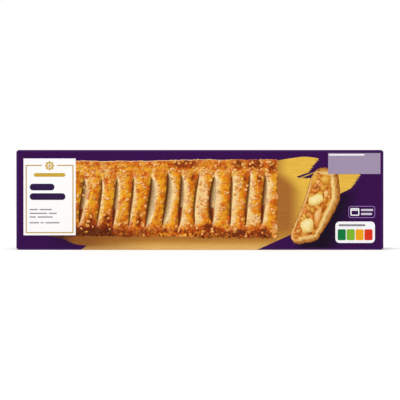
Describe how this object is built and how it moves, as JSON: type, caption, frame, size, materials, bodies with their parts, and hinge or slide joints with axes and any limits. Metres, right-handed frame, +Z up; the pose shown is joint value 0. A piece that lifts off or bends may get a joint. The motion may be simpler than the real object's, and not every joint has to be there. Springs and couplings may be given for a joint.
{
  "type": "apple strudel carton",
  "caption": "Long, slim folding carton holding an apple strudel, shut with glued end flaps, standing on its long narrow side with the printed front forward",
  "frame": {"origin": "the middle of the base, on the surface that the carton stands on", "axes": "+X along the carton, +Z up, and the printed front panel faces -Y"},
  "size_m": [0.34, 0.0496, 0.0925],
  "materials": {
    "printed_board": "satin",
    "board_edge": "matte",
    "gold_ink": "satin",
    "food_print": "satin",
    "label_print": "satin"
  },
  "bodies": {
    "root": {"carton": "printed_board"}
  },
  "joints": []
}
